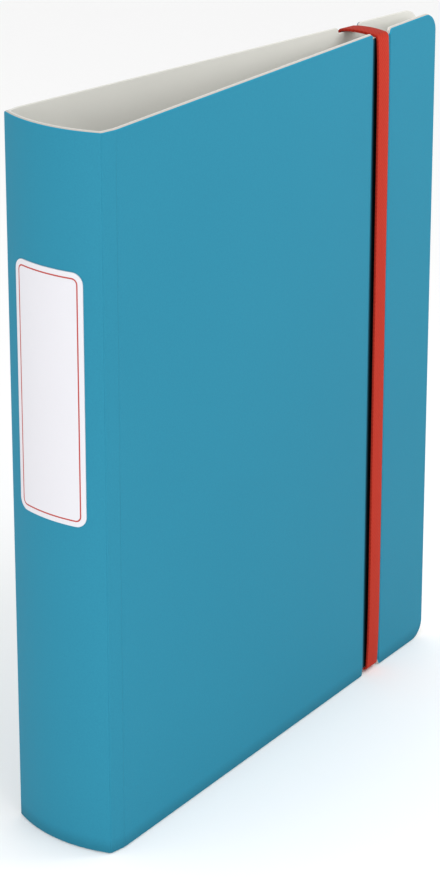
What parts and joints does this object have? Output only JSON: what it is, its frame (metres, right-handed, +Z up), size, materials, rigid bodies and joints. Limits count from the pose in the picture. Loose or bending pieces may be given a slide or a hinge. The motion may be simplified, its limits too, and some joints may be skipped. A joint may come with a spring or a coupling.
{
  "type": "ring binder",
  "caption": "Upright ring binder with a curved spine and spine label, D-rings on the back cover, end levers and a red elastic closing band.",
  "frame": {"origin": "on the resting plane, under the middle of the closed binder's bounding box", "axes": "+Z up along the spine; -Y is the way the spine faces, +Y the fore edge; +X is the front cover's side, -X the back cover's"},
  "size_m": [0.056, 0.2614, 0.318],
  "materials": {
    "cover": "soft-touch fine grain",
    "label": "smooth card",
    "elastic": "woven elastic",
    "clip": "plated",
    "ring_nickel": "nickel plated",
    "blade_steel": "plain steel"
  },
  "bodies": {
    "spine": {"spine": "cover", "spine_label": "label", "front_fold_strip": "cover", "back_fold_strip": "cover"},
    "front_cover": {"front_cover": "cover"},
    "back_cover": {"back_cover": "cover", "top_band_clip": "clip", "bottom_band_clip": "clip", "ring_housing": "ring_nickel", "bottom_mounting_rivet": "ring_nickel", "middle_mounting_rivet": "ring_nickel", "top_mounting_rivet": "ring_nickel", "bottom_mounting_post": "blade_steel", "middle_mounting_post": "blade_steel", "top_mounting_post": "blade_steel", "top_lever_pin": "blade_steel", "bottom_lever_pin": "blade_steel"},
    "spine_side_blade": {"spine_side_blade": "blade_steel", "curved_half_ring_1": "ring_nickel", "curved_half_ring_2": "ring_nickel", "curved_half_ring_3": "ring_nickel", "curved_half_ring_4": "ring_nickel"},
    "fore_side_blade": {"fore_side_blade": "blade_steel", "straight_half_ring_1": "ring_nickel", "straight_half_ring_2": "ring_nickel", "straight_half_ring_3": "ring_nickel", "straight_half_ring_4": "ring_nickel"},
    "top_lever": {"top_opening_lever": "ring_nickel"},
    "bottom_lever": {"bottom_opening_lever": "ring_nickel"},
    "elastic": {"elastic_band": "elastic"}
  },
  "joints": [
    {"name": "front_cover_fold", "type": "hinge", "parent": "spine", "child": "front_cover", "pos_m": [0.02695, -0.12233, 0.159], "axis": [0, 0, -1], "range_deg": [0, 180], "deforming": ["front_fold_strip"]},
    {"name": "back_cover_fold", "type": "hinge", "parent": "spine", "child": "back_cover", "pos_m": [-0.02695, -0.12233, 0.159], "axis": [0, 0, 1], "range_deg": [0, 180], "deforming": ["back_fold_strip"]},
    {"name": "spine_side_rings", "type": "hinge", "parent": "back_cover", "child": "spine_side_blade", "pos_m": [-0.02085, -0.10433, 0.159], "axis": [0, 0, -1], "range_deg": [0, 26]},
    {"name": "fore_side_rings", "type": "hinge", "parent": "back_cover", "child": "fore_side_blade", "pos_m": [-0.01924, -0.08559, 0.159], "axis": [0, 0, 1], "range_deg": [0, 26]},
    {"name": "top_lever_swing", "type": "hinge", "parent": "back_cover", "child": "top_lever", "pos_m": [-0.01885, -0.09506, 0.2885], "axis": [-0.0854, -0.9963, 0], "range_deg": [0, 22]},
    {"name": "bottom_lever_swing", "type": "hinge", "parent": "back_cover", "child": "bottom_lever", "pos_m": [-0.01885, -0.09506, 0.0295], "axis": [0.0854, 0.9963, 0], "range_deg": [0, 22]},
    {"name": "band_release", "type": "slide", "parent": "back_cover", "child": "elastic", "axis": [-0.9963, 0.0854, 0], "range_m": [0, 0.0163], "deforming": ["elastic_band"]}
  ],
  "couplings": [
    {"joint": "fore_side_rings", "follows": "spine_side_rings", "ratio": 1},
    {"joint": "top_lever_swing", "follows": "spine_side_rings", "ratio": 0.846},
    {"joint": "bottom_lever_swing", "follows": "spine_side_rings", "ratio": 0.846},
    {"joint": "band_release", "follows": "front_cover_fold", "m_per_rad": 0.0051566}
  ]
}
